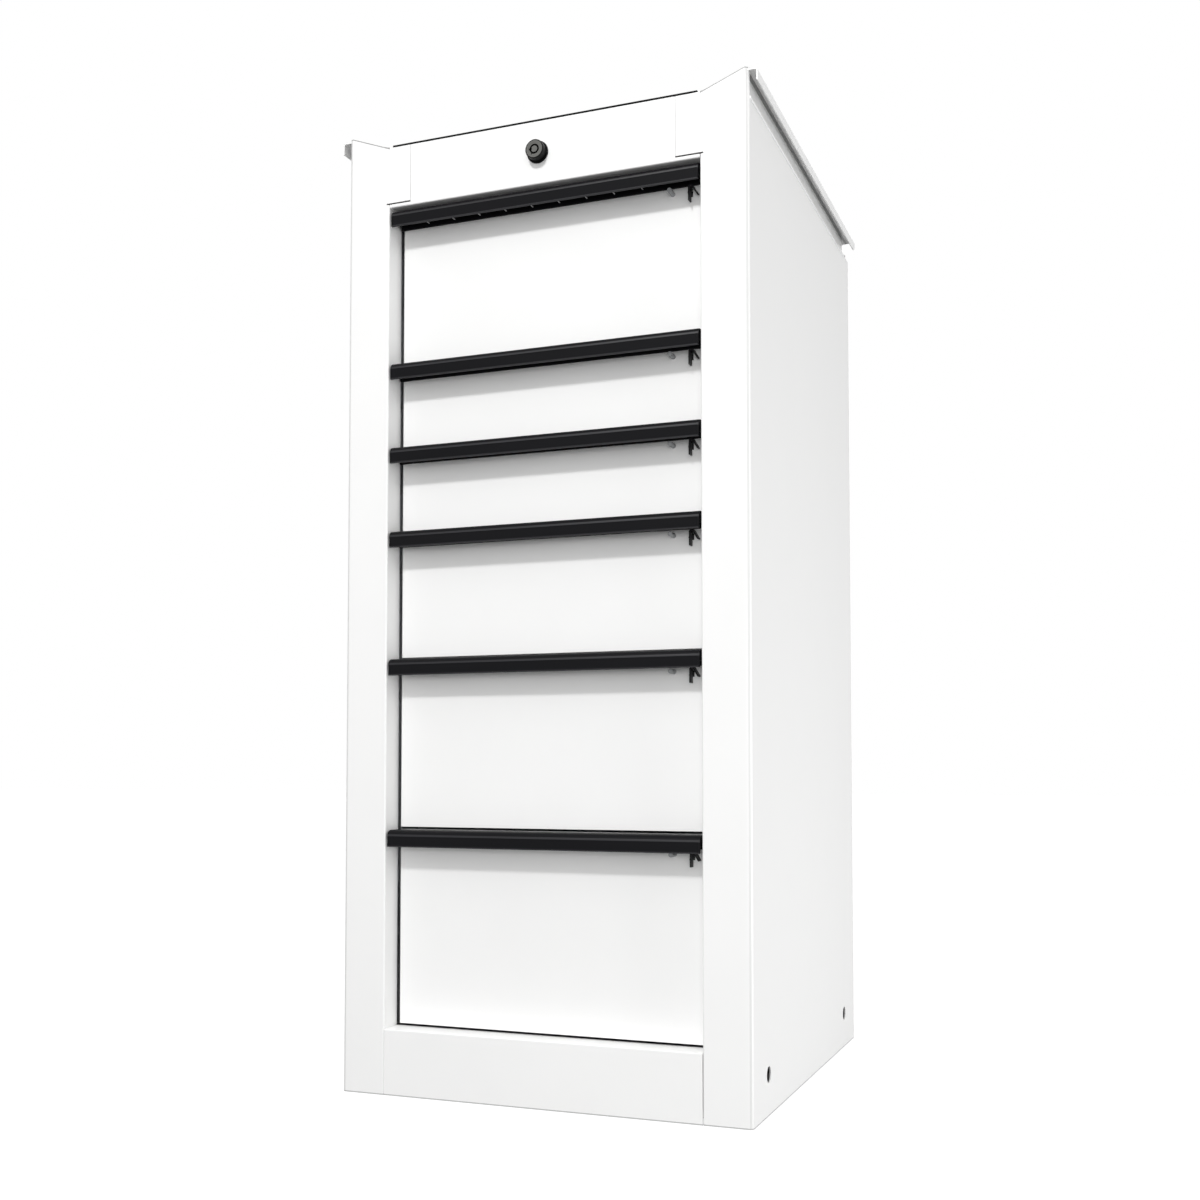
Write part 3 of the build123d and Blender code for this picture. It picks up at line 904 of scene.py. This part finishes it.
def pull_shell(sizes, low, high):
    """The pull's bent wall with its sunk front face."""
    shell = block("pull_shell", low, high)
    top, front, back = high.z - NEAR, low.y + NEAR, high.y - NEAR

    def top_front(at, way):
        return at.y < front and at.z > top

    def top_back(at, way):
        return at.y > back and at.z > top

    pick(shell, "FACE", lambda at, way: way.z < -FACING or abs(way.x) > FACING)
    bpy.ops.mesh.delete(type="FACE")
    pick(shell, "VERT", lambda at, way: at.y > back and at.z < low.z + NEAR)
    bpy.ops.transform.translate(value=(0, 0, sizes.flange_rise))
    round_edges(shell, top_front, radius=sizes.nose_radius, segments=9)
    round_edges(shell, top_back, radius=sizes.back_radius, segments=3)
    give_wall(shell, sizes.wall)
    round_folds(shell, radius=sizes.rim_round, segments=3, degrees=50)
    pick(shell, "FACE", lambda at, way: way.y < -SQUARE_ON and at.y < front)
    bpy.ops.mesh.inset(thickness=sizes.panel_border, depth=0)
    bpy.ops.mesh.inset(thickness=sizes.panel_depth / 2, depth=-sizes.panel_depth)
    return shell


def assign(piece, material_name, test):
    """Gives the faces that pass a test another finish."""
    piece.data.materials.append(bpy.data.materials[material_name])
    pick(piece, "FACE", test)
    piece.active_material_index = len(piece.data.materials) - 1
    bpy.ops.object.material_slot_assign()
    rest()


def finish_pull_edges(moulding, number, sizes):
    """The painted highlights on a pull's nose and rims and on its ribs' lower edges."""
    low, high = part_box(f"drawer_{number}_pull")
    rim = low.z + sizes.panel_border
    nose = high.z - sizes.nose_radius - sizes.panel_border
    sunk = low.y + sizes.panel_depth / 2
    rib_edge = high.z - sizes.rib_drop

    def painted_highlight(at, way):
        on_nose = at.z > nose and NOSE_HIGHLIGHT_BAND[0] < way.z < NOSE_HIGHLIGHT_BAND[1] and way.y < 0
        on_border = at.y < sunk and (at.z < rim or at.z > nose)
        return on_nose or on_border or at.z < low.z + sizes.rim_round

    def rib_highlight(at, way):
        inside = abs(at.x) < high.x - sizes.end_wall - NEAR
        return inside and way.z < -RIB_HIGHLIGHT_BAND and abs(at.z - rib_edge) < sizes.rib_wall / 2

    # Painted highlights: paler plastic on the nose, the front's border and the lower rims, and on the
    # ribs' lower edges.
    assign(moulding, "satin_plastic", painted_highlight)
    assign(moulding, "rubbed_plastic", rib_highlight)


class CABINET_OT_pulls(bpy.types.Operator):
    """Mould the six drawer pulls: a bent wall with a sunk face, ribs and end walls"""

    bl_idname = "side_cabinet.pulls"
    bl_label = "Drawer pulls"

    def execute(self, context):
        sizes = context.scene.cabinet_pulls
        low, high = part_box("drawer_1_pull")
        parts = [pull_shell(sizes, low, high)]
        for index in range(sizes.rib_count):
            left = (index - sizes.rib_count / 2) * sizes.rib_pitch - sizes.rib_wall / 2
            parts.append(pull_web("pull_rib", sizes, low, high, left, sizes.rib_wall))
        for left in (low.x, high.x - sizes.end_wall):
            parts.append(pull_web("pull_end", sizes, low, high, left, sizes.end_wall))
        first = joined(parts, "drawer_1_pull_moulding")
        smooth(first)
        mouldings = [first]
        for number in DRAWERS[1:]:
            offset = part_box(f"drawer_{number}_pull")[1] - high
            mouldings.append(copy_of(first, f"drawer_{number}_pull_moulding", offset))
        for number, moulding in zip(DRAWERS, mouldings):
            finish_piece(moulding, f"drawer_{number}", "dark_plastic")
            finish_pull_edges(moulding, number, sizes)
            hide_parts(f"drawer_{number}_pull")
        return {"FINISHED"}


class CABINET_OT_trays(bpy.types.Operator):
    """Fold the six drawer trays: rounded folds, a rim turned down inside and a pressed floor"""

    bl_idname = "side_cabinet.trays"
    bl_label = "Drawer trays"

    def execute(self, context):
        sizes = context.scene.cabinet_trays
        for number in DRAWERS:
            low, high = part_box(f"drawer_{number}_box")
            tray = block(f"drawer_{number}_tray", low, high)

            def on_floor(at, way):
                return way.z < -FACING and at.z < low.z + NEAR

            pick(tray, "FACE", lambda at, way: way.z > FACING)
            bpy.ops.mesh.inset(thickness=sizes.rim_width, depth=0)
            bpy.ops.mesh.extrude_region_move(TRANSFORM_OT_translate={"value": (0, 0, -sizes.rim_drop)})
            bpy.ops.mesh.delete(type="FACE")
            pick(tray, "FACE", on_floor)
            bpy.ops.mesh.subdivide(number_cuts=1)
            pick(tray, "FACE", on_floor)
            bpy.ops.mesh.inset(use_individual=True, thickness=sizes.panel_border, depth=0)
            bpy.ops.mesh.inset(use_individual=True, thickness=sizes.panel_slope, depth=-sizes.panel_rise)
            round_folds(tray, radius=sizes.fold_radius, segments=4, degrees=60)
            give_wall(tray, sizes.sheet)
            smooth(tray)
            finish_piece(tray, f"drawer_{number}", "white_paint")
            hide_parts(f"drawer_{number}_box")
        return {"FINISHED"}


class CABINET_OT_mat(bpy.types.Operator):
    """Lay the ribbed rubber mat on the cabinet's top"""

    bl_idname = "side_cabinet.mat"
    bl_label = "Top mat"

    def execute(self, context):
        sizes = context.scene.cabinet_mat
        low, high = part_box("top_mat")
        slab = block("mat_slab", low, high)
        pick(slab, "FACE", lambda at, way: way.z > FACING)
        bpy.ops.mesh.inset(thickness=sizes.border, depth=0)
        bpy.ops.mesh.extrude_region_move(TRANSFORM_OT_translate={"value": (0, 0, -sizes.groove)})
        room = high.x - low.x - 2 * sizes.border
        count = int(room / sizes.rib_pitch)
        first = (low.x + high.x - (count - 1) * sizes.rib_pitch - sizes.rib_width) / 2
        start = (first, low.y + sizes.border, high.z - sizes.groove - NEAR)
        end = (first + sizes.rib_width, high.y - sizes.border, high.z)
        rib = block("mat_rib", start, end)

        def upper(at, way):
            return abs(way.y) > ALONG and at.z > high.z - NEAR

        round_edges(rib, upper, radius=sizes.rib_width / 3, segments=3)
        modify(
            rib,
            "ARRAY",
            count=count,
            use_relative_offset=False,
            use_constant_offset=True,
            constant_offset_displace=(sizes.rib_pitch, 0, 0),
        )
        mat = joined([slab, rib], "ribbed_top_mat")
        smooth(mat)
        finish_piece(mat, "cabinet", "black_rubber")
        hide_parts("top_mat")
        return {"FINISHED"}


class CABINET_OT_hems(bpy.types.Operator):
    """Roll the half round hem along the upper edge of both side panels"""

    bl_idname = "side_cabinet.hems"
    bl_label = "Side hems"

    def execute(self, context):
        sizes = context.scene.cabinet_hems
        for side, way_out in (("left", -1), ("right", 1)):
            low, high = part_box(f"side_panel_{side}")
            face = max(abs(low.x), abs(high.x))
            edge = way_out * (face + sizes.proud)
            inner, outer = sorted((way_out * (face - NEAR), edge))
            start = (inner, low.y + sizes.front_gap, sizes.top - sizes.height)
            end = (outer, high.y - sizes.rear_gap, sizes.top)
            hem = block(f"side_hem_{side}", start, end)

            def outermost(at, way):
                return abs(at.x - edge) < NEAR / 2

            round_edges(hem, outermost, radius=sizes.proud * HEM_ROUND, segments=4)
            smooth(hem)
            # The hem's brighter coat is a painted highlight.
            finish_piece(hem, "cabinet", "white_paint", "hem_powder_coat")
        return {"FINISHED"}


class CABINET_OT_stage(bpy.types.Operator):
    """Set the floor, the background, the lamps and the camera"""

    bl_idname = "side_cabinet.stage"
    bl_label = "Stage"

    def execute(self, context):
        settings = context.scene.cabinet_stage
        rest()
        bpy.ops.mesh.primitive_plane_add(size=FLOOR_WIDTH)
        floor = bpy.context.object
        floor.name = "floor"
        floor.data.materials.append(self.floor_finish())
        self.sky(settings)
        for part, (name, place, aim) in LAMPS.items():
            power, size = (getattr(settings, f"{part}_{value}") for value in ("power", "size"))
            self.lamp(name, place, aim, power, size)
        self.camera(settings)
        context.scene.view_settings.view_transform = "Standard"
        return {"FINISHED"}

    def lamp(self, name, place, aim, power, size):
        """A square area lamp that points at a place."""
        rest()
        bpy.ops.object.light_add(type="AREA", location=place)
        lamp = bpy.context.object
        lamp.name = name
        lamp.data.energy = power
        lamp.data.size = size
        way = Vector([b - a for a, b in zip(place, aim)])
        lamp.rotation_euler = way.to_track_quat("-Z", "Y").to_euler()

    def camera(self, settings):
        """The camera at the photograph's viewing angle."""
        rest()
        turn = (math.radians(CAMERA_TILT), 0, math.radians(CAMERA_TURN))
        bpy.ops.object.camera_add(location=CAMERA_PLACE, rotation=turn)
        camera = bpy.context.object
        camera.name = "camera"
        camera.data.lens = settings.lens
        camera.data.shift_y = CAMERA_SHIFT
        bpy.context.scene.camera = camera

    def floor_finish(self):
        """A pale floor that looks white to the camera but keeps the shadow."""
        finish = new_finish("pale_floor")
        cloud = finish.noise(1.5)
        tone = finish.between(cloud, *(grey(shade) for shade in FLOOR_GREYS))
        plain = finish.add("ShaderNodeBsdfDiffuse", {}, {"Color": tone})
        shadow = finish.add("ShaderNodeBsdfDiffuse", {}, {"Color": grey(SHADOW_GREY)})
        glow = finish.add("ShaderNodeEmission", {}, {"Color": grey(1.0), "Strength": FLOOR_GLOW})
        bright = finish.add("ShaderNodeAddShader", {}, {0: shadow, 1: glow})
        both = finish.add("ShaderNodeMixShader", {}, {0: finish.seen(), 1: plain, 2: bright})
        finish.add("ShaderNodeOutputMaterial", {}, {"Surface": both})
        return finish.owner

    def sky(self, settings):
        """Even light from all round, with a white background."""
        world = bpy.data.worlds.new("studio")
        bpy.context.scene.world = world
        studio = Finish(world)
        strength = studio.seen() * (1 - settings.sky) + settings.sky
        light = studio.add("ShaderNodeBackground", {}, {"Color": grey(1.0), "Strength": strength})
        studio.add("ShaderNodeOutputWorld", {}, {"Surface": light})


OPERATORS = [
    CABINET_OT_finishes,
    CABINET_OT_pulls,
    CABINET_OT_trays,
    CABINET_OT_mat,
    CABINET_OT_hems,
    CABINET_OT_stage,
]


class CABINET_PT_panel(bpy.types.Panel):
    """Builds the cabinet's pieces one by one"""

    bl_label = "Tool side cabinet"
    bl_idname = "CABINET_PT_panel"
    bl_space_type = "VIEW_3D"
    bl_region_type = "UI"
    bl_category = "Cabinet"

    def draw(self, context):
        for operator in OPERATORS:
            self.layout.operator(operator.bl_idname)


GROUPS = {
    "cabinet_pulls": PullSizes,
    "cabinet_trays": TraySizes,
    "cabinet_mat": MatSizes,
    "cabinet_hems": HemSizes,
    "cabinet_colours": Colours,
    "cabinet_stage": StageSettings,
}


def register():
    for cls in (*GROUPS.values(), *OPERATORS, CABINET_PT_panel):
        bpy.utils.register_class(cls)
    for name, group in GROUPS.items():
        setattr(bpy.types.Scene, name, PointerProperty(type=group))


def unregister():
    for name in GROUPS:
        delattr(bpy.types.Scene, name)
    for cls in (CABINET_PT_panel, *reversed(OPERATORS), *GROUPS.values()):
        bpy.utils.unregister_class(cls)


def main():
    register()
    for operator in OPERATORS:
        area, name = operator.bl_idname.split(".")
        getattr(getattr(bpy.ops, area), name)()
    rest()


if __name__ == "__main__":
    main()
